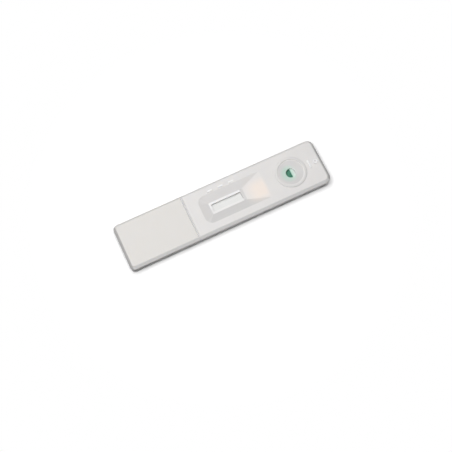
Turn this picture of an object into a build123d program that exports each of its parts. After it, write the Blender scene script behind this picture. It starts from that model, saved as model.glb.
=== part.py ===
from build123d import *
import os

# A lateral flow cassette lying flat, in millimetres.
# The origin is the centre of the underside. +X points to the sample port end, +Y away from
# the viewer and +Z up.

# Case
BODY_LENGTH = 98.7
BODY_WIDTH = 22.3
BODY_HEIGHT = 5.7
PARTING_HEIGHT = 2.6
WALL = 1.2
TOP_PLATE = 1.1
FLOOR = 1.0
HANDLE_CORNER = 2.4
PORT_CORNER = 3.2
INNER_CORNER = 0.8
EDGE_BEVEL = 1.3
BEVEL_ROUND = 0.25
BASE_SETBACK = 0.1
BASE_ROUND = 0.3
SEAM_CHAMFER = 0.15

# Lip of the lower shell inside the skirt of the upper shell
SKIRT = 0.6
LIP_HEIGHT = 0.8
LIP_CLEARANCE = 0.08

# Press pins of the upper shell and their sockets in the lower shell
PIN_RADIUS = 0.8
PIN_TIP_CHAMFER = 0.25
PIN_END_GAP = 0.2
PIN_CLEARANCE = 0.05
SOCKET_WALL = 0.7
SOCKET_HEIGHT = 1.6
SOCKET_WALL_GAP = 0.3
PIN_END_INSET = 4.6
PIN_RECESS_GAP = 3.2
PIN_GROOVE_GAP = 4.0

# Groove that ends the flat handle, and the ribs under the handle
GROOVE_RECESS_GAP = 5.85
GROOVE_FLAT = 0.2
GROOVE_RUN = 0.4
GROOVE_DEPTH = 0.6
HANDLE_RIB_SPACING = 6.0
HANDLE_RIB_INSET = 3.4
HANDLE_RIB_STRIP_GAP = 3.6
RIB_THICKNESS = 0.8
RIB_END_GAP = 0.1

# Window and the sloping recess around it
WINDOW_RECESS_GAP = 5.2
WINDOW_LENGTH = 14.5
WINDOW_WIDTH = 3.65
WINDOW_CORNER = 0.3
WINDOW_DEPTH = 1.26
WINDOW_LIP = 1.3
LEDGE_WIDTH = 0.8
LEDGE_CORNER = 0.5
RECESS_PORT_GAP = 12.95
RECESS_LENGTH = 31.2
RECESS_WIDTH = 13.4
RECESS_START_CORNER = 3.5
RECESS_END_CORNER = 0.6
RECESS_SKIN = 0.5

# Sample port
PORT_END_GAP = 15.5
PORT_RADIUS = 2.15
PORT_LIP = 0.75
PORT_EDGE_ROUND = 0.3
PORT_SKIN = 1.1
BOWL_RADIUS = 6.0
RIM_WIDTH = 1.25
RIM_HEIGHT = 0.4
RIM_ROUND = 0.3

# Raised marks on the plate
MARK_HEIGHT = 0.35
MARK_ROUND = 0.12
TICK_COUNT = 3
TICK_PITCH = 5.2
TICK_LENGTH = 2.6
TICK_WIDTH = 0.9
TICK_RECESS_GAP = 0.85
END_BAR_INSET = 6.3
END_BAR_WIDTH = 0.9
END_BAR_LENGTH = 3.9
END_RING_INSET = 3.2
END_RING_RADIUS = 1.15
END_RING_BORE = 0.6

# Test strip
STRIP_WIDTH = 6.0
STRIP_HANDLE_GAP = 18.0
STRIP_PORT_REACH = 9.0
CARD_THICKNESS = 0.25
MEMBRANE_THICKNESS = 0.14
MEMBRANE_START_REACH = 6.5
MEMBRANE_END_REACH = 6.5
ABSORBENT_THICKNESS = 0.9
ABSORBENT_WINDOW_GAP = 4.3
CONJUGATE_THICKNESS = 0.4
CONJUGATE_WINDOW_GAP = 4.5
CONJUGATE_PORT_REACH = 3.5
SAMPLE_THICKNESS = 0.6
SAMPLE_EDGE_OFFSET = 0.4
STRIP_CLEARANCE = 0.15

# Cradle of the strip and the ribs that hold it down
CRADLE_RIB_COUNT = 9
CRADLE_GAP = 0.15
CRADLE_RAIL = 0.8
RAIL_CLEARANCE = 0.1
HOLD_DOWN_CLEARANCE = 0.05
HOLD_DOWN_LENGTH = 5.0
STRIP_START_HOLD_DOWN = 4.0
RECESS_HOLD_DOWN = 3.5
CONJUGATE_HOLD_DOWN = 8.2
SAMPLE_HOLD_DOWN = 7.8

# Heights, from the plate down to the card and back up through the pads
LEDGE_HEIGHT = BODY_HEIGHT - WINDOW_DEPTH
WINDOW_UNDERSIDE = LEDGE_HEIGHT - WINDOW_LIP
MEMBRANE_TOP = WINDOW_UNDERSIDE - STRIP_CLEARANCE
CARD_TOP = MEMBRANE_TOP - MEMBRANE_THICKNESS
CARD_BASE = CARD_TOP - CARD_THICKNESS
CONJUGATE_TOP = CARD_TOP + CONJUGATE_THICKNESS
ABSORBENT_TOP = CARD_TOP + ABSORBENT_THICKNESS
SAMPLE_TOP = CARD_TOP + SAMPLE_THICKNESS
PORT_PAD_TOP = CONJUGATE_TOP + SAMPLE_THICKNESS
PORT_UNDERSIDE = PORT_PAD_TOP + STRIP_CLEARANCE
PORT_LIP_TOP = PORT_UNDERSIDE + PORT_LIP
RAIL_TOP = WINDOW_UNDERSIDE - RAIL_CLEARANCE
PLATE_UNDERSIDE = BODY_HEIGHT - TOP_PLATE
PLATE_MIDDLE = BODY_HEIGHT - TOP_PLATE / 2

# Places along the case
HANDLE_END = -BODY_LENGTH / 2
PORT_END = BODY_LENGTH / 2
PORT_X = PORT_END - PORT_END_GAP
RECESS_END = PORT_X - RECESS_PORT_GAP
RECESS_START = RECESS_END - RECESS_LENGTH
WINDOW_START = RECESS_START + WINDOW_RECESS_GAP
WINDOW_END = WINDOW_START + WINDOW_LENGTH
GROOVE_X = RECESS_START - GROOVE_RECESS_GAP
END_BAR_X = PORT_END - END_BAR_INSET
END_RING_X = PORT_END - END_RING_INSET
STRIP_START = HANDLE_END + STRIP_HANDLE_GAP
STRIP_END = PORT_X + STRIP_PORT_REACH
MEMBRANE_START = WINDOW_START - MEMBRANE_START_REACH
MEMBRANE_END = WINDOW_END + MEMBRANE_END_REACH
ABSORBENT_END = WINDOW_START - ABSORBENT_WINDOW_GAP
CONJUGATE_START = WINDOW_END + CONJUGATE_WINDOW_GAP
CONJUGATE_END = PORT_X + CONJUGATE_PORT_REACH
SAMPLE_START = PORT_X + SAMPLE_EDGE_OFFSET
SOCKET_RADIUS = PIN_RADIUS + PIN_CLEARANCE + SOCKET_WALL
PIN_Y = BODY_WIDTH / 2 - WALL - SOCKET_WALL_GAP - SOCKET_RADIUS
PIN_XS = (
    HANDLE_END + PIN_END_INSET,
    GROOVE_X - PIN_GROOVE_GAP,
    (WINDOW_START + WINDOW_END) / 2,
    RECESS_END + PIN_RECESS_GAP,
    PORT_END - PIN_END_INSET,
)
OVERCUT = 1.0
LEVEL_TOLERANCE = 0.001


def rounded_box(x_start, x_end, width, start_corner, end_corner):
    """Flat outline between two X positions, with its own corner radius at each end."""
    outline = Pos((x_start + x_end) / 2, 0) * Rectangle(x_end - x_start, width)
    outline = fillet(outline.vertices().group_by(Axis.X)[0], start_corner)
    return fillet(outline.vertices().group_by(Axis.X)[-1], end_corner)


def plan(inset):
    """Outline of the case, moved inwards by the inset."""
    start_corner = max(HANDLE_CORNER - inset, INNER_CORNER)
    end_corner = max(PORT_CORNER - inset, INNER_CORNER)
    width = BODY_WIDTH - 2 * inset
    return rounded_box(HANDLE_END + inset, PORT_END - inset, width, start_corner, end_corner)


def slab(outline, bottom, top):
    """An outline raised from one height to another."""
    return extrude(Pos(0, 0, bottom) * outline, top - bottom)


def box_between(x_start, x_end, width, bottom, top):
    """A plain block centred on the long axis."""
    place = Pos((x_start + x_end) / 2, 0, (bottom + top) / 2)
    return place * Box(x_end - x_start, width, top - bottom)


def at_height(shapes, height):
    """The faces or edges that lie at one height."""
    return shapes.filter_by_position(Axis.Z, height - LEVEL_TOLERANCE, height + LEVEL_TOLERANCE)


def outer_edges(solid, height):
    """Edges of the outer outline at one height."""
    level = at_height(solid.faces().filter_by(Plane.XY), height)
    return level.sort_by(SortBy.AREA)[-1].outer_wire().edges()


def pin_places():
    """Centres of the press pins and of their sockets."""
    return [Pos(x, side * PIN_Y) for x in PIN_XS for side in (-1, 1)]


def ledge_outline(margin):
    """Outline of the ledge around the window, widened by the margin."""
    spread = LEDGE_WIDTH + margin
    width = WINDOW_WIDTH + 2 * spread
    return rounded_box(WINDOW_START - spread, WINDOW_END + spread, width, LEDGE_CORNER, LEDGE_CORNER)


def recess_outline(margin):
    """Outline of the recess in the plate, widened by the margin."""
    width = RECESS_WIDTH + 2 * margin
    start_corner = RECESS_START_CORNER
    return rounded_box(RECESS_START - margin, RECESS_END + margin, width, start_corner, RECESS_END_CORNER)


def window_recess():
    """Four slopes that run down to the ledge, with the window cut through below it."""
    slopes = loft(
        [Pos(0, 0, LEDGE_HEIGHT) * ledge_outline(0), Pos(0, 0, BODY_HEIGHT) * recess_outline(0)],
        ruled=True,
    )
    opening = rounded_box(WINDOW_START, WINDOW_END, WINDOW_WIDTH, WINDOW_CORNER, WINDOW_CORNER)
    window = slab(opening, WINDOW_UNDERSIDE - OVERCUT, LEDGE_HEIGHT)
    return slopes + window


def recess_shell():
    """Material under the slopes of the recess, down to the strip."""
    return loft(
        [
            Pos(0, 0, WINDOW_UNDERSIDE) * ledge_outline(RECESS_SKIN),
            Pos(0, 0, PLATE_UNDERSIDE) * recess_outline(RECESS_SKIN),
        ],
        ruled=True,
    )


def port_bowl():
    """Conical bowl of the sample port and the round hole below it."""
    depth = BODY_HEIGHT - PORT_LIP_TOP
    centre = Pos(PORT_X, 0, PORT_LIP_TOP)
    bowl = centre * Cone(PORT_RADIUS, BOWL_RADIUS, depth, align=(Align.CENTER, Align.CENTER, Align.MIN))
    hole = slab(Pos(PORT_X, 0) * Circle(PORT_RADIUS), PORT_UNDERSIDE - OVERCUT, PORT_LIP_TOP)
    return bowl + hole


def port_shell():
    """Material under the bowl, down to the pads."""
    height = PLATE_MIDDLE - PORT_UNDERSIDE
    centre = Pos(PORT_X, 0, PORT_UNDERSIDE)
    foot_radius = PORT_RADIUS + PORT_SKIN
    top_radius = BOWL_RADIUS + PORT_SKIN
    return centre * Cone(foot_radius, top_radius, height, align=(Align.CENTER, Align.CENTER, Align.MIN))


def port_rim():
    """Raised ring around the bowl, with both of its edges rounded."""
    outline = Circle(BOWL_RADIUS + RIM_WIDTH) - Circle(BOWL_RADIUS)
    rim = slab(Pos(PORT_X, 0) * outline, PLATE_UNDERSIDE, BODY_HEIGHT + RIM_HEIGHT)
    return fillet(rim.edges().group_by(Axis.Z)[-1], RIM_ROUND)


def groove():
    """Groove with sloping sides across the plate."""
    half = GROOVE_FLAT / 2
    profile = Polyline(
        (-half - GROOVE_RUN, 0),
        (-half, -GROOVE_DEPTH),
        (half, -GROOVE_DEPTH),
        (half + GROOVE_RUN, 0),
        close=True,
    )
    section = Plane.XZ * make_face(profile)
    return Pos(GROOVE_X, 0, BODY_HEIGHT) * extrude(section, BODY_WIDTH, both=True)


def raised_mark(outline):
    """A mark that stands a little above the plate, with soft top edges."""
    mark = slab(outline, BODY_HEIGHT - MARK_HEIGHT, BODY_HEIGHT + MARK_HEIGHT)
    return fillet(mark.edges().group_by(Axis.Z)[-1], MARK_ROUND)


def plate_marks():
    """Plain ticks beside the window, and a bar and a ring at the port end."""
    tick_y = RECESS_WIDTH / 2 + TICK_RECESS_GAP
    window_middle = (WINDOW_START + WINDOW_END) / 2
    tick = RectangleRounded(TICK_LENGTH, TICK_WIDTH, TICK_WIDTH / 3)
    first = window_middle - TICK_PITCH * (TICK_COUNT - 1) / 2
    marks = [raised_mark(Pos(first + index * TICK_PITCH, tick_y) * tick) for index in range(TICK_COUNT)]
    bar = RectangleRounded(END_BAR_WIDTH, END_BAR_LENGTH, END_BAR_WIDTH / 3)
    marks.append(raised_mark(Pos(END_BAR_X, 0) * bar))
    marks.append(raised_mark(Pos(END_RING_X, 0) * (Circle(END_RING_RADIUS) - Circle(END_RING_BORE))))
    return marks


def press_pin():
    """Pin from the plate down into a socket."""
    pin = slab(Circle(PIN_RADIUS), FLOOR + PIN_END_GAP, PLATE_MIDDLE)
    return chamfer(pin.edges().group_by(Axis.Z)[0], PIN_TIP_CHAMFER)


def hold_down(x, pad_top):
    """Cross rib from the plate down to just above a pad."""
    half = RIB_THICKNESS / 2
    return box_between(x - half, x + half, HOLD_DOWN_LENGTH, pad_top + HOLD_DOWN_CLEARANCE, PLATE_MIDDLE)


def upper_ribs():
    """Hold-down ribs over the pads, and two long ribs that stiffen the handle."""
    ribs = [
        hold_down(STRIP_START + STRIP_START_HOLD_DOWN, ABSORBENT_TOP),
        hold_down(RECESS_START - RECESS_HOLD_DOWN, ABSORBENT_TOP),
        hold_down(PORT_X - CONJUGATE_HOLD_DOWN, CONJUGATE_TOP),
        hold_down(PORT_X + SAMPLE_HOLD_DOWN, SAMPLE_TOP),
    ]
    start = HANDLE_END + HANDLE_RIB_INSET
    end = STRIP_START - HANDLE_RIB_STRIP_GAP
    rib = box_between(start, end, RIB_THICKNESS, FLOOR + RIB_END_GAP, PLATE_MIDDLE)
    for side in (-1, 1):
        ribs.append(Pos(0, side * HANDLE_RIB_SPACING / 2) * rib)
    return ribs


def bevelled_block():
    """Outside of the upper half, with a bevel around the plate and a soft edge on each side of it."""
    block = slab(plan(0), PARTING_HEIGHT, BODY_HEIGHT)
    block = chamfer(outer_edges(block, BODY_HEIGHT), EDGE_BEVEL)
    bevel_foot = at_height(block.edges(), BODY_HEIGHT - EDGE_BEVEL)
    block = fillet(bevel_foot + outer_edges(block, BODY_HEIGHT), BEVEL_ROUND)
    return chamfer(outer_edges(block, PARTING_HEIGHT), SEAM_CHAMFER)


def upper_shell():
    """Upper half of the case with everything that is moulded on it."""
    shell = bevelled_block()
    shell -= slab(plan(WALL), PARTING_HEIGHT, PLATE_UNDERSIDE)
    shell -= slab(plan(SKIRT) - plan(WALL), PARTING_HEIGHT, PARTING_HEIGHT + LIP_HEIGHT + LIP_CLEARANCE)
    shell += port_rim() + port_shell() + recess_shell()
    shell -= window_recess()
    shell -= port_bowl()
    shell = fillet(at_height(shell.edges(), PORT_LIP_TOP), PORT_EDGE_ROUND)
    shell -= groove()
    for place in pin_places():
        shell += place * press_pin()
    for addition in upper_ribs() + plate_marks():
        shell += addition
    return shell


def strip_cradle():
    """Low frame around the strip, with cross ribs that the card lies on."""
    gap = CRADLE_GAP
    wide = gap + CRADLE_RAIL
    frame = box_between(STRIP_START - wide, STRIP_END + wide, STRIP_WIDTH + 2 * wide, FLOOR, RAIL_TOP)
    frame -= box_between(STRIP_START - gap, STRIP_END + gap, STRIP_WIDTH + 2 * gap, FLOOR, RAIL_TOP)
    pitch = (STRIP_END - STRIP_START) / CRADLE_RIB_COUNT
    for index in range(CRADLE_RIB_COUNT):
        x = STRIP_START + pitch * (index + 0.5)
        half = RIB_THICKNESS / 2
        frame += box_between(x - half, x + half, STRIP_WIDTH + 2 * wide, FLOOR, CARD_BASE)
    return frame


def pin_socket():
    """Tube on the floor that takes a press pin."""
    outline = Circle(SOCKET_RADIUS) - Circle(PIN_RADIUS + PIN_CLEARANCE)
    return slab(outline, FLOOR, FLOOR + SOCKET_HEIGHT)


def lower_shell():
    """Lower half of the case with its lip, sockets and strip cradle."""
    shell = slab(plan(BASE_SETBACK), 0, PARTING_HEIGHT)
    shell = fillet(outer_edges(shell, 0), BASE_ROUND)
    shell += slab(plan(SKIRT + LIP_CLEARANCE), FLOOR, PARTING_HEIGHT + LIP_HEIGHT)
    shell -= slab(plan(WALL), FLOOR, PARTING_HEIGHT + LIP_HEIGHT)
    shell += strip_cradle()
    for place in pin_places():
        shell += place * pin_socket()
    return shell


def backing_card():
    """Card that carries the membrane and the pads."""
    return box_between(STRIP_START, STRIP_END, STRIP_WIDTH, CARD_BASE, CARD_TOP)


def membrane():
    """Thin strip seen in the window."""
    return box_between(MEMBRANE_START, MEMBRANE_END, STRIP_WIDTH, CARD_TOP, MEMBRANE_TOP)


def stepped_pad(x_start, x_step, x_end, thickness, low, high):
    """A pad that lies at one height up to the step and at another beyond it."""
    first = box_between(x_start, x_step, STRIP_WIDTH, low, low + thickness)
    second = box_between(x_step, x_end, STRIP_WIDTH, high, high + thickness)
    return first + second


def absorbent_pad():
    """Thick wick that laps over the membrane."""
    return stepped_pad(
        STRIP_START, MEMBRANE_START, ABSORBENT_END, ABSORBENT_THICKNESS, CARD_TOP, MEMBRANE_TOP
    )


def conjugate_pad():
    """Thin pad that laps over the membrane and runs on under the sample port."""
    return stepped_pad(
        CONJUGATE_START, MEMBRANE_END, CONJUGATE_END, CONJUGATE_THICKNESS, MEMBRANE_TOP, CARD_TOP
    )


def sample_pad():
    """Pad that laps over the conjugate pad, with its edge in the sample port."""
    return stepped_pad(SAMPLE_START, CONJUGATE_END, STRIP_END, SAMPLE_THICKNESS, CONJUGATE_TOP, CARD_TOP)


def main():
    """Writes one file for each piece."""
    os.makedirs("parts", exist_ok=True)
    pieces = (upper_shell, lower_shell, absorbent_pad, membrane, conjugate_pad, sample_pad, backing_card)
    for piece in pieces:
        export_step(piece(), "parts/" + piece.__name__ + ".step")


main()
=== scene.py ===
from math import cos, radians, sin

import bpy
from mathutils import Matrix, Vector

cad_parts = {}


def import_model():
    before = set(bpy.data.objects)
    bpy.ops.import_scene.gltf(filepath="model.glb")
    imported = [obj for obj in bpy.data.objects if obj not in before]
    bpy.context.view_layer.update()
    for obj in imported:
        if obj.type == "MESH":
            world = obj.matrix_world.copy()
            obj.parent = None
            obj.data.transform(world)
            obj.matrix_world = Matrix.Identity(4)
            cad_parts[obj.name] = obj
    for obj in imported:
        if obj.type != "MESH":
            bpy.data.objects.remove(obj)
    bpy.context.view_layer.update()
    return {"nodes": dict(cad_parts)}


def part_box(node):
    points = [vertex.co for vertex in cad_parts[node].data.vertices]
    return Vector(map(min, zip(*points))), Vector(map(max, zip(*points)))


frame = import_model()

# A lateral flow cassette lying on a pale floor, in metres, +X towards the sample port.

MM = 0.001

# Sizes of the moulding
PORT_END_GAP = 15.5 * MM
PORT_RADIUS = 2.15 * MM
BOWL_RADIUS = 6.0 * MM
RIM_WIDTH = 1.25 * MM
RIM_HEIGHT = 0.4 * MM
RECESS_PORT_GAP = 12.95 * MM
RECESS_LENGTH = 31.2 * MM
RECESS_WIDTH = 13.4 * MM
WINDOW_RECESS_GAP = 5.2 * MM
WINDOW_LENGTH = 14.5 * MM
WINDOW_DEPTH = 1.26 * MM
GROOVE_RECESS_GAP = 5.85 * MM
GROOVE_HALF_WIDTH = 0.5 * MM
EDGE_BEVEL = 1.3 * MM

# Places on the case, from the middle of its underside
CASE_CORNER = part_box("upper_shell")[1]
PORT_END = CASE_CORNER.x
CASE_HALF_WIDTH = CASE_CORNER.y
PLATE_HEIGHT = CASE_CORNER.z - RIM_HEIGHT
PORT_X = PORT_END - PORT_END_GAP
RIM_RADIUS = BOWL_RADIUS + RIM_WIDTH
RECESS_END = PORT_X - RECESS_PORT_GAP
RECESS_START = RECESS_END - RECESS_LENGTH
RECESS_HALF_WIDTH = RECESS_WIDTH / 2
WINDOW_END = RECESS_START + WINDOW_RECESS_GAP + WINDOW_LENGTH
LEDGE_HEIGHT = PLATE_HEIGHT - WINDOW_DEPTH
GROOVE_X = RECESS_START - GROOVE_RECESS_GAP
SAMPLE_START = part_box("sample_pad")[0].x

# Colours of the plastic, its tints and its painted highlights and shade, as linear values
PLASTIC = (0.82, 0.802, 0.79, 1)
PLASTIC_SHADE = (0.785, 0.772, 0.763, 1)
PANEL_TINT = (0.805, 0.783, 0.75, 1)
# From here to the glow, the colours are painted highlights, painted shade and a painted green glow
RAMP_PAINTED_HIGHLIGHT = (0.92, 0.83, 0.765, 1)
SLOPE_PAINTED_SHADE = (0.69, 0.68, 0.675, 1)
GROOVE_PAINTED_SHADE = (0.73, 0.72, 0.715, 1)
MARK_PAINTED_HIGHLIGHT = (0.97, 0.965, 0.96, 1)
PAINTED_HIGHLIGHT = (0.94, 0.935, 0.93, 1)
BOWL_PAINTED_SHADE = (0.665, 0.655, 0.65, 1)
WALL_PAINTED_SHADE = (0.60, 0.59, 0.585, 1)
END_PAINTED_SHADE = (0.58, 0.57, 0.565, 1)
PAINTED_GREEN_GLOW = (0.62, 0.80, 0.71, 1)

# Colours of the strip
MEMBRANE_WHITE = (0.83, 0.83, 0.82, 1)
MEMBRANE_SHADE = (0.79, 0.79, 0.775, 1)
GREEN = (0.045, 0.18, 0.115, 1)
GREEN_PALE = (0.09, 0.28, 0.19, 1)
PAD_EDGE_GREEN = (0.62, 0.82, 0.73, 1)
PAD_WHITE = (0.76, 0.785, 0.75, 1)
PAD_SHADE = (0.67, 0.71, 0.67, 1)
WICK_WHITE = (0.84, 0.84, 0.82, 1)
WICK_SHADE = (0.76, 0.76, 0.74, 1)
CARD_WHITE = (0.82, 0.82, 0.83, 1)
CARD_SHADE = (0.78, 0.78, 0.79, 1)

# Range that noise keeps within, and the depth of fine grain
NOISE_LOW = 0.3
NOISE_HIGH = 0.7
GRAIN_DEPTH = 0.02 * MM

# Plastic, with noise in cells to a metre as in the materials below
MOTTLE_CELLS = 160
MOTTLE_STRENGTH = 0.35
PLASTIC_GRAIN_CELLS = 5200
PLASTIC_GRAIN_STRENGTH = 0.12
PLASTIC_GLOSS_CELLS = 900
PLASTIC_ROUGHNESS = (0.30, 0.42)
PLASTIC_IOR = 1.46
PLASTIC_SPECULAR = 0.25
GLOW_THROUGH = 0.4
GLOW_THROUGH_RADIUS = (1.0, 0.95, 0.85)
GLOW_THROUGH_SCALE = 0.8 * MM

# Membrane
MEMBRANE_CELLS = 9000
MEMBRANE_ROUGHNESS = (0.75, 0.9)
MEMBRANE_GRAIN_STRENGTH = 0.3

# Fibre pads, whose strands are the sum of two noises
FIBRE_CELLS = 2600
FIBRE_STRETCH = 0.25
FIBRE_COLOUR_RANGE = (0.75, 1.25)
FIBRE_ROUGHNESS_RANGE = (0.7, 1.3)
FIBRE_ROUGHNESS = (0.95, 0.8)
FIBRE_GRAIN_STRENGTH = 0.6
FIBRE_GRAIN_DEPTH = 0.08 * MM

# Card
CARD_TONE_CELLS = 700
CARD_ROUGHNESS = (0.25, 0.35)
CARD_GRAIN_CELLS = 3000
CARD_GRAIN_STRENGTH = 0.1

# Handle, and painted shade in the groove
HANDLE_FADE = 0.5 * MM
HANDLE_STRENGTH = 0.7
HANDLE_ROUGHNESS = 0.15
GROOVE_FLOOR = 0.12 * MM
GROOVE_SIDE_STRENGTH = 0.1
GROOVE_FADE = 0.1 * MM

# Slopes of the recess: how far a face leans, and how strong the painted shade is on each slope
LEAN_NONE = 0.12
LEAN_FULL = 0.25
HANDLE_SLOPE_STRENGTH = 0.65
BACK_SLOPE_STRENGTH = 0.36
RECESS_FADE = 0.3 * MM

# Painted warm highlight on the ramp
WARM_END_GAP = 4 * MM
WARM_END_FADE = 1 * MM
WARM_BACK = 5.5 * MM
WARM_BACK_STRENGTH = 0.15
WARM_MIDDLE = 3.0 * MM
WARM_SIDE_STRENGTH = 0.3
WARM_SIDE_INNER = 0.2 * MM
WARM_SIDE_OUTER = 0.1 * MM

# Ledge and walls of the window: painted highlight, and painted shade on the end wall and the ledge
# past it
WELL_FADE = 1 * MM
LEDGE_RISE = 0.02 * MM
LEDGE_TOP = 0.1 * MM
LEDGE_END_START = 0.25 * MM
LEDGE_END_STOP = 0.05 * MM
LEDGE_FRONT_STRENGTH = 0.5
END_WALL_FULL = -0.9
END_WALL_NONE = -0.6
END_LEDGE_FADE = 0.15 * MM
END_LEDGE_STRENGTH = 0.5

# Painted highlight on the tops of the raised marks
MARK_START = 0.1 * MM
MARK_FULL = 0.25 * MM
MARK_RIM_GAP = 0.2 * MM

# Bowl, rim and hole of the port: painted shade on bowl and rim, painted green glow, painted highlight
# on the hole's edge
BOWL_INNER_FADE = 0.5 * MM
BOWL_OUTER_FADE = 0.1 * MM
RIM_INNER_FADE = 0.2 * MM
RIM_OUTER_FADE = 0.5 * MM
RIM_STRENGTH = 0.6
BOWL_TURN = 0.4
BOWL_PALE_SIDE = -5.8 * MM
BOWL_DARK_SIDE = 4.2 * MM
BOWL_STRENGTHS = (0.35, 0.82)
GLOW_SHIFT = 0.8 * MM
GLOW_RIM_GAP = 1.3 * MM
GLOW_STRENGTH = 0.85
GLOW_SIDE_START = 0.5 * MM
GLOW_SIDE_END = 2.5 * MM
GLOW_SIDE_STRENGTH = 0.3
HOLE_EDGE_START = 0.15 * MM
HOLE_EDGE_END = 0.45 * MM
HOLE_SIDE_FADE = 1.2 * MM
HOLE_EDGE_STRENGTH = 0.6

# Bevels: which way their faces lean, and how far their painted highlight and painted shade reach over
# the bevel's edge
FRONT_FULL = -0.6
FRONT_NONE = -0.4
FRONT_LEVEL_NONE = 0.5
FRONT_LEVEL_FULL = 0.65
FRONT_INNER_REACH = 0.25 * MM
FRONT_OUTER_REACH = 0.05 * MM
FRONT_STRENGTH = 0.6
END_LEVEL_NONE = 0.15
END_LEVEL_FULL = 0.45
END_INNER_REACH = 0.2 * MM
END_OUTER_REACH = 0.4 * MM

# How far the green reaches in along the sample pad's edge
PAD_EDGE_GREEN_REACH = 1.8 * MM

# Floor and surroundings
FLOOR_HALF_SIZE = 3.0
FLOOR_PALE = (0.95, 0.95, 0.95, 1)
FLOOR_LIFT = (0.32, 0.32, 0.32, 1)
FLOOR_BOUNCE = (0.15, 0.15, 0.15, 1)
SHADOW_RADIUS = 0.06
WHITE_RADIUS = 0.09
WHITE_STRENGTH = 1.0
WORLD_LIGHT = 0.10

# Lamps
KEY_PLACE = (-0.055, 0.03, 0.42)
KEY_SIZE = 0.36
KEY_POWER = 1.76
BACK_PLACE = (0.02, 0.40, 0.02)
BACK_SIZE = 0.04
BACK_POWER = 0.08

# Camera
CAMERA_AZIMUTH = -25.3
CAMERA_ELEVATION = 73.7
CAMERA_DISTANCE = 0.3627
CAMERA_LENS = 64.85
CAMERA_TARGET = Vector((-0.00311, -0.00971, 0.0032))
CAMERA_NEAR = 0.01
CAMERA_FAR = 10


class Shader:
    """A node material under construction."""

    def __init__(self, name):
        self.material = bpy.data.materials.new(name)
        self.material.use_nodes = True
        self.tree = self.material.node_tree
        self.surface = self.tree.nodes["Principled BSDF"]
        coordinates = self.tree.nodes.new("ShaderNodeTexCoord")
        self.place = coordinates.outputs["Object"]
        self.normal = coordinates.outputs["Normal"]

    def link(self, source, target):
        self.tree.links.new(source, target)

    def noise(self, cells, detail=2, stretch=(1, 1, 1)):
        """Noise with so many cells to a metre, drawn out along an axis by the stretch."""
        mapping = self.tree.nodes.new("ShaderNodeMapping")
        mapping.inputs["Scale"].default_value = stretch
        self.link(self.place, mapping.inputs["Vector"])
        texture = self.tree.nodes.new("ShaderNodeTexNoise")
        texture.inputs["Scale"].default_value = cells
        texture.inputs["Detail"].default_value = detail
        self.link(mapping.outputs["Vector"], texture.inputs["Vector"])
        return texture.outputs["Fac"]

    def math(self, operation, first, second=None):
        """One sum with numbers or other nodes' outputs."""
        node = self.tree.nodes.new("ShaderNodeMath")
        node.operation = operation
        for index, value in enumerate((first, second)):
            if isinstance(value, (int, float)):
                node.inputs[index].default_value = value
            elif value is not None:
                self.link(value, node.inputs[index])
        return node.outputs[0]

    def product(self, *values):
        """Values multiplied with each other."""
        result = values[0]
        for value in values[1:]:
            result = self.math("MULTIPLY", result, value)
        return result

    def distance(self, first, second):
        """Length of a flat vector with these two components."""
        squares = self.product(first, first), self.product(second, second)
        return self.math("SQRT", self.math("ADD", *squares))

    def ramp(self, value, low, high, start=0.0, end=1.0):
        """The value carried smoothly from one range to another."""
        node = self.tree.nodes.new("ShaderNodeMapRange")
        node.interpolation_type = "SMOOTHSTEP"
        node.inputs["From Min"].default_value = low
        node.inputs["From Max"].default_value = high
        node.inputs["To Min"].default_value = start
        node.inputs["To Max"].default_value = end
        self.link(value, node.inputs["Value"])
        return node.outputs["Result"]

    def rise(self, value, low, high):
        """0 below the range and 1 above it."""
        return self.ramp(value, low, high)

    def fall(self, value, low, high, end=0.0):
        """1 below the range and the end value above it."""
        return self.ramp(value, low, high, 1, end)

    def spread(self, noise, start=0.0, end=1.0):
        """Noise, which keeps near its middle, spread over a whole range."""
        return self.ramp(noise, NOISE_LOW, NOISE_HIGH, start, end)

    def mix(self, share, first, second):
        """Blend of two colours, each a colour or another node's output."""
        node = self.tree.nodes.new("ShaderNodeMix")
        node.data_type = "RGBA"
        self.link(share, node.inputs["Factor"])
        for name, value in (("A", first), ("B", second)):
            socket = [s for s in node.inputs if s.name == name and s.type == "RGBA"][0]
            if isinstance(value, tuple):
                socket.default_value = value
            else:
                self.link(value, socket)
        return [s for s in node.outputs if s.type == "RGBA"][0]

    def parts_of(self, vector):
        """The three components of a vector."""
        node = self.tree.nodes.new("ShaderNodeSeparateXYZ")
        self.link(vector, node.inputs[0])
        return node.outputs[0], node.outputs[1], node.outputs[2]

    def bump(self, height, strength, distance):
        node = self.tree.nodes.new("ShaderNodeBump")
        node.inputs["Strength"].default_value = strength
        node.inputs["Distance"].default_value = distance
        self.link(height, node.inputs["Height"])
        self.link(node.outputs["Normal"], self.surface.inputs["Normal"])

    def colour(self, output):
        self.link(output, self.surface.inputs["Base Color"])

    def roughness(self, output):
        self.link(output, self.surface.inputs["Roughness"])


class Spot:
    """Where a point of the case lies, from the case's middle and from the port, and how it faces."""

    def __init__(self, s):
        self.x, self.y, self.z = s.parts_of(s.place)
        self.facing_x, self.facing_y, self.facing_z = s.parts_of(s.normal)
        self.across = s.math("ABSOLUTE", self.y)
        self.port_x = s.math("SUBTRACT", self.x, PORT_X)
        self.from_port = s.distance(self.port_x, self.y)


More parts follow.
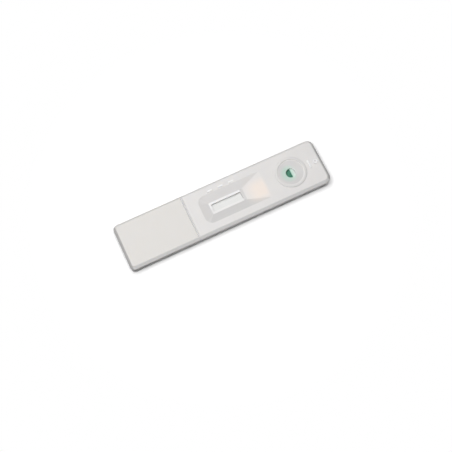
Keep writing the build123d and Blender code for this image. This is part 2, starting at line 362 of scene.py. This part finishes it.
def plain_plastic(name):
    """White moulded plastic with a fine satin grain, and its colour and roughness before any tint."""
    s = Shader(name)
    mottle = s.spread(s.noise(MOTTLE_CELLS, detail=3))
    colour = s.mix(s.product(mottle, MOTTLE_STRENGTH), PLASTIC, PLASTIC_SHADE)
    s.colour(colour)
    s.bump(s.noise(PLASTIC_GRAIN_CELLS, detail=3), PLASTIC_GRAIN_STRENGTH, GRAIN_DEPTH)
    s.surface.inputs["IOR"].default_value = PLASTIC_IOR
    s.surface.inputs["Specular IOR Level"].default_value = PLASTIC_SPECULAR
    s.surface.inputs["Subsurface Weight"].default_value = GLOW_THROUGH
    s.surface.inputs["Subsurface Radius"].default_value = GLOW_THROUGH_RADIUS
    s.surface.inputs["Subsurface Scale"].default_value = GLOW_THROUGH_SCALE
    roughness = s.spread(s.noise(PLASTIC_GLOSS_CELLS), *PLASTIC_ROUGHNESS)
    s.roughness(roughness)
    return s, colour, roughness


def plate_plastic():
    """The same plastic with the tints of the plate, most of them painted highlights, painted shade and
    a painted green glow, and matt on the handle.
    """
    s, colour, roughness = plain_plastic("upper_shell")
    at = Spot(s)
    on_handle = handle(s, at)
    well = window_well(s, at)
    tints = (
        (s.product(on_handle, HANDLE_STRENGTH), PANEL_TINT),
        # From here on: painted shade, painted highlights and a painted green glow, as each mask's
        # docstring says
        (groove(s, at), GROOVE_PAINTED_SHADE),
        (recess_slopes(s, at), SLOPE_PAINTED_SHADE),
        (ramp_painted_highlight(s, at), RAMP_PAINTED_HIGHLIGHT),
        (s.product(well, ledge(s, at)), PAINTED_HIGHLIGHT),
        (s.product(well, end_wall(s, at)), WALL_PAINTED_SHADE),
        (s.product(well, end_ledge(s, at)), WALL_PAINTED_SHADE),
        (raised_marks(s, at), MARK_PAINTED_HIGHLIGHT),
        (bowl_and_rim(s, at), BOWL_PAINTED_SHADE),
        (painted_glow_around_hole(s, at), PAINTED_GREEN_GLOW),
        (hole_edge(s, at), PAINTED_HIGHLIGHT),
        (front_bevel(s, at), PAINTED_HIGHLIGHT),
        (end_bevels(s, at), END_PAINTED_SHADE),
    )
    for share, tint in tints:
        colour = s.mix(share, colour, tint)
    s.colour(colour)
    s.roughness(s.math("ADD", roughness, s.product(on_handle, HANDLE_ROUGHNESS)))
    return s.material


def handle(s, at):
    """The flat handle, up to the groove."""
    return s.fall(at.x, GROOVE_X - HANDLE_FADE, GROOVE_X)


def groove(s, at):
    """Painted shade in the groove, strongest along its floor."""
    from_middle = s.math("ABSOLUTE", s.math("SUBTRACT", at.x, GROOVE_X))
    return s.product(
        s.fall(from_middle, GROOVE_FLOOR, GROOVE_HALF_WIDTH, GROOVE_SIDE_STRENGTH),
        s.fall(from_middle, GROOVE_HALF_WIDTH, GROOVE_HALF_WIDTH + GROOVE_FADE),
    )


def recess_slopes(s, at):
    """Painted shade on the three steep slopes of the window recess, weaker on the handle's side and at
    the back.
    """
    lean = s.math("MAXIMUM", s.math("ABSOLUTE", at.facing_y), at.facing_x)
    return s.product(
        s.rise(lean, LEAN_NONE, LEAN_FULL),
        s.fall(at.facing_x, LEAN_NONE, LEAN_FULL, HANDLE_SLOPE_STRENGTH),
        s.ramp(at.facing_y, -LEAN_FULL, LEAN_FULL, BACK_SLOPE_STRENGTH, 1),
        s.rise(at.x, RECESS_START - RECESS_FADE, RECESS_START),
        s.fall(at.x, RECESS_END, RECESS_END + RECESS_FADE),
        s.fall(at.across, RECESS_HALF_WIDTH, RECESS_HALF_WIDTH + RECESS_FADE),
    )


def ramp_painted_highlight(s, at):
    """Painted warm highlight on the ramp between window and port, warmest before its end and weaker at
    the back.
    """
    return s.product(
        s.rise(at.x, WINDOW_END, RECESS_END - WARM_END_GAP),
        s.fall(at.x, RECESS_END - WARM_END_FADE, RECESS_END + WARM_END_FADE),
        s.fall(at.y, 0, WARM_BACK, WARM_BACK_STRENGTH),
        s.fall(at.across, WARM_MIDDLE, RECESS_HALF_WIDTH, WARM_SIDE_STRENGTH),
        s.fall(at.across, RECESS_HALF_WIDTH - WARM_SIDE_INNER, RECESS_HALF_WIDTH + WARM_SIDE_OUTER),
    )


def window_well(s, at):
    """The ledge around the window and all that lies below it."""
    return s.product(
        s.fall(at.z, LEDGE_HEIGHT + LEDGE_RISE, LEDGE_HEIGHT + LEDGE_TOP),
        s.rise(at.x, RECESS_START, RECESS_START + WELL_FADE),
        s.fall(at.x, RECESS_END - WELL_FADE, RECESS_END),
        s.fall(at.across, RECESS_HALF_WIDTH - WELL_FADE, RECESS_HALF_WIDTH),
    )


def ledge(s, at):
    """Painted highlight on all of the well but its end towards the port, weaker at the front."""
    before_end = s.fall(at.x, WINDOW_END - LEDGE_END_START, WINDOW_END - LEDGE_END_STOP)
    return s.product(before_end, s.ramp(at.y, -WELL_FADE, WELL_FADE, LEDGE_FRONT_STRENGTH, 1))


def end_wall(s, at):
    """Painted shade on the window's wall towards the port."""
    return s.fall(at.facing_x, END_WALL_FULL, END_WALL_NONE)


def end_ledge(s, at):
    """Painted shade on the ledge past the window's end."""
    return s.product(s.rise(at.x, WINDOW_END, WINDOW_END + END_LEDGE_FADE), END_LEDGE_STRENGTH)


def raised_marks(s, at):
    """Painted highlight on the tops of the raised marks, which stand above the plate outside the
    port's rim.
    """
    return s.product(
        s.rise(at.z, PLATE_HEIGHT + MARK_START, PLATE_HEIGHT + MARK_FULL),
        s.rise(at.from_port, RIM_RADIUS, RIM_RADIUS + MARK_RIM_GAP),
    )


def bowl_and_rim(s, at):
    """Painted shade on the bowl of the port and, weaker, on its rim, both darker towards the port end.
    """
    bowl = s.fall(at.from_port, BOWL_RADIUS - BOWL_INNER_FADE, BOWL_RADIUS - BOWL_OUTER_FADE)
    rim = s.product(
        s.rise(at.from_port, BOWL_RADIUS + RIM_INNER_FADE, BOWL_RADIUS + RIM_OUTER_FADE),
        s.fall(at.from_port, RIM_RADIUS, RIM_RADIUS + RIM_OUTER_FADE),
        RIM_STRENGTH,
    )
    side = s.math("SUBTRACT", at.port_x, s.product(at.y, BOWL_TURN))
    darker = s.ramp(side, BOWL_PALE_SIDE, BOWL_DARK_SIDE, *BOWL_STRENGTHS)
    return s.product(s.math("ADD", bowl, rim), darker)


def painted_glow_around_hole(s, at):
    """Painted green glow in the bowl, as if lit by the green pad, around the hole and strongest
    towards the window.
    """
    from_glow = s.distance(s.math("ADD", at.port_x, GLOW_SHIFT), at.y)
    return s.product(
        s.ramp(from_glow, PORT_RADIUS, BOWL_RADIUS - GLOW_RIM_GAP, GLOW_STRENGTH, 0),
        s.fall(at.port_x, GLOW_SIDE_START, GLOW_SIDE_END, GLOW_SIDE_STRENGTH),
    )


def hole_edge(s, at):
    """Painted highlight on the edge of the hole on the port end's side, where the white pad lies."""
    return s.product(
        s.fall(at.from_port, PORT_RADIUS + HOLE_EDGE_START, PORT_RADIUS + HOLE_EDGE_END),
        s.rise(at.port_x, 0, HOLE_SIDE_FADE),
        HOLE_EDGE_STRENGTH,
    )


def front_bevel(s, at):
    """Painted highlight on the bevel along the front edge."""
    bevel_start = CASE_HALF_WIDTH - EDGE_BEVEL
    return s.product(
        s.fall(at.facing_y, FRONT_FULL, FRONT_NONE),
        s.rise(at.facing_z, FRONT_LEVEL_NONE, FRONT_LEVEL_FULL),
        s.rise(at.across, bevel_start - FRONT_INNER_REACH, bevel_start + FRONT_OUTER_REACH),
        FRONT_STRENGTH,
    )


def end_bevels(s, at):
    """Painted shade on the bevels along both ends."""
    bevel_start = PORT_END - EDGE_BEVEL
    return s.product(
        s.rise(s.math("ABSOLUTE", at.x), bevel_start - END_INNER_REACH, bevel_start + END_OUTER_REACH),
        s.rise(at.facing_z, END_LEVEL_NONE, END_LEVEL_FULL),
    )


def membrane_paper():
    """Fine white membrane."""
    s = Shader("membrane")
    grain = s.noise(MEMBRANE_CELLS, detail=4)
    s.colour(s.mix(s.spread(grain), MEMBRANE_WHITE, MEMBRANE_SHADE))
    s.roughness(s.spread(grain, *MEMBRANE_ROUGHNESS))
    s.bump(grain, MEMBRANE_GRAIN_STRENGTH, GRAIN_DEPTH)
    return s.material


def fibre_pad(name, light, dark):
    """Pressed fibre with short strands in two directions, and its colour."""
    s = Shader(name)
    lengthwise = s.noise(FIBRE_CELLS, detail=4, stretch=(FIBRE_STRETCH, 1, 1))
    crosswise = s.noise(FIBRE_CELLS, detail=4, stretch=(1, FIBRE_STRETCH, 1))
    strands = s.math("ADD", lengthwise, crosswise)
    fibre = s.ramp(strands, *FIBRE_COLOUR_RANGE)
    colour = s.mix(fibre, dark, light)
    s.colour(colour)
    s.roughness(s.ramp(strands, *FIBRE_ROUGHNESS_RANGE, *FIBRE_ROUGHNESS))
    s.bump(fibre, FIBRE_GRAIN_STRENGTH, FIBRE_GRAIN_DEPTH)
    return s, colour


def green_edged_pad():
    """White sample pad, greener towards its edge nearer the window."""
    s, colour = fibre_pad("sample_pad", PAD_WHITE, PAD_SHADE)
    x = s.parts_of(s.place)[0]
    s.colour(s.mix(s.fall(x, SAMPLE_START, SAMPLE_START + PAD_EDGE_GREEN_REACH), colour, PAD_EDGE_GREEN))
    return s.material


def card_sheet():
    """Smooth plastic card."""
    s = Shader("backing_card")
    tone = s.noise(CARD_TONE_CELLS)
    s.colour(s.mix(s.spread(tone), CARD_WHITE, CARD_SHADE))
    s.roughness(s.spread(tone, *CARD_ROUGHNESS))
    s.bump(s.noise(CARD_GRAIN_CELLS), CARD_GRAIN_STRENGTH, GRAIN_DEPTH)
    return s.material


def dress():
    """Gives each piece its material."""
    finish = {
        "upper_shell": plate_plastic(),
        "lower_shell": plain_plastic("lower_shell")[0].material,
        "membrane": membrane_paper(),
        "conjugate_pad": fibre_pad("conjugate_pad", GREEN_PALE, GREEN)[0].material,
        "sample_pad": green_edged_pad(),
        "absorbent_pad": fibre_pad("absorbent_pad", WICK_WHITE, WICK_SHADE)[0].material,
        "backing_card": card_sheet(),
    }
    for node, material in finish.items():
        mesh = frame["nodes"][node].data
        mesh.materials.clear()
        mesh.materials.append(material)


def seen_directly(tree):
    """1 for rays from the camera and for what metal or glass would show, and otherwise 0."""
    path = tree.nodes.new("ShaderNodeLightPath")
    seen = path.outputs["Is Camera Ray"]
    for kind in ("Is Glossy Ray", "Is Transmission Ray"):
        either = tree.nodes.new("ShaderNodeMath")
        either.operation = "MAXIMUM"
        tree.links.new(seen, either.inputs[0])
        tree.links.new(path.outputs[kind], either.inputs[1])
        seen = either.outputs[0]
    return seen


def diffuse(tree, colour):
    """Plain matt surface."""
    node = tree.nodes.new("ShaderNodeBsdfDiffuse")
    node.inputs["Color"].default_value = colour
    return node.outputs[0]


def mix_surfaces(tree, share, first, second):
    """Blend of two surfaces."""
    node = tree.nodes.new("ShaderNodeMixShader")
    for index, source in enumerate((share, first, second)):
        tree.links.new(source, node.inputs[index])
    return node.outputs[0]


def far_from_case(tree):
    """0 where the shadow of the case falls, and 1 from a little further out."""
    place = tree.nodes.new("ShaderNodeTexCoord")
    distance = tree.nodes.new("ShaderNodeVectorMath")
    distance.operation = "LENGTH"
    tree.links.new(place.outputs["Object"], distance.inputs[0])
    far = tree.nodes.new("ShaderNodeMapRange")
    far.interpolation_type = "SMOOTHSTEP"
    far.inputs["From Min"].default_value = SHADOW_RADIUS
    far.inputs["From Max"].default_value = WHITE_RADIUS
    tree.links.new(distance.outputs["Value"], far.inputs["Value"])
    return far.outputs["Result"]


def floor_surface():
    """Pale floor that shows the shadow of the case, runs out to white and throws back little light."""
    material = bpy.data.materials.new("floor")
    material.use_nodes = True
    tree = material.node_tree
    pale = tree.nodes["Principled BSDF"]
    pale.inputs["Base Color"].default_value = FLOOR_PALE
    pale.inputs["Roughness"].default_value = 1.0
    pale.inputs["Specular IOR Level"].default_value = 0.0
    lifted = tree.nodes.new("ShaderNodeAddShader")
    tree.links.new(pale.outputs[0], lifted.inputs[0])
    tree.links.new(diffuse(tree, FLOOR_LIFT), lifted.inputs[1])
    white = tree.nodes.new("ShaderNodeEmission")
    white.inputs["Strength"].default_value = WHITE_STRENGTH
    shown = mix_surfaces(tree, far_from_case(tree), lifted.outputs[0], white.outputs[0])
    whole = mix_surfaces(tree, seen_directly(tree), diffuse(tree, FLOOR_BOUNCE), shown)
    tree.links.new(whole, tree.nodes["Material Output"].inputs["Surface"])
    return material


def floor():
    """Flat floor under the case."""
    mesh = bpy.data.meshes.new("floor")
    size = FLOOR_HALF_SIZE
    corners = [(-size, -size, 0), (size, -size, 0), (size, size, 0), (-size, size, 0)]
    mesh.from_pydata(corners, [], [(0, 1, 2, 3)])
    mesh.materials.append(floor_surface())
    plane = bpy.data.objects.new("floor", mesh)
    bpy.context.scene.collection.objects.link(plane)


def soft_light(name, place, size, power):
    """A square softbox that faces the case."""
    data = bpy.data.lights.new(name, "AREA")
    data.shape = "SQUARE"
    data.size = size
    data.energy = power
    lamp = bpy.data.objects.new(name, data)
    lamp.location = place
    lamp.rotation_mode = "QUATERNION"
    lamp.rotation_quaternion = (-Vector(place)).to_track_quat("-Z", "Y")
    bpy.context.scene.collection.objects.link(lamp)


def world():
    """Surroundings that look white and give a weak, even light."""
    surroundings = bpy.data.worlds.new("surroundings")
    surroundings.use_nodes = True
    tree = surroundings.node_tree
    background = tree.nodes["Background"]
    background.inputs["Color"].default_value = (1, 1, 1, 1)
    strength = tree.nodes.new("ShaderNodeMapRange")
    strength.inputs["To Min"].default_value = WORLD_LIGHT
    strength.inputs["To Max"].default_value = WHITE_STRENGTH
    tree.links.new(seen_directly(tree), strength.inputs["Value"])
    tree.links.new(strength.outputs["Result"], background.inputs["Strength"])
    bpy.context.scene.world = surroundings


def camera():
    """Camera that looks down on the case from the photograph's side."""
    data = bpy.data.cameras.new("camera")
    data.lens = CAMERA_LENS
    data.clip_start = CAMERA_NEAR
    data.clip_end = CAMERA_FAR
    view = bpy.data.objects.new("camera", data)
    azimuth = radians(CAMERA_AZIMUTH)
    elevation = radians(CAMERA_ELEVATION)
    back = Vector((sin(azimuth) * cos(elevation), -cos(azimuth) * cos(elevation), sin(elevation)))
    view.location = CAMERA_TARGET + back * CAMERA_DISTANCE
    view.rotation_mode = "QUATERNION"
    view.rotation_quaternion = (-back).to_track_quat("-Z", "Y")
    bpy.context.scene.collection.objects.link(view)
    bpy.context.scene.camera = view


dress()
floor()
soft_light("key", KEY_PLACE, KEY_SIZE, KEY_POWER)
soft_light("rim", BACK_PLACE, BACK_SIZE, BACK_POWER)
world()
camera()
bpy.context.scene.view_settings.view_transform = "Standard"
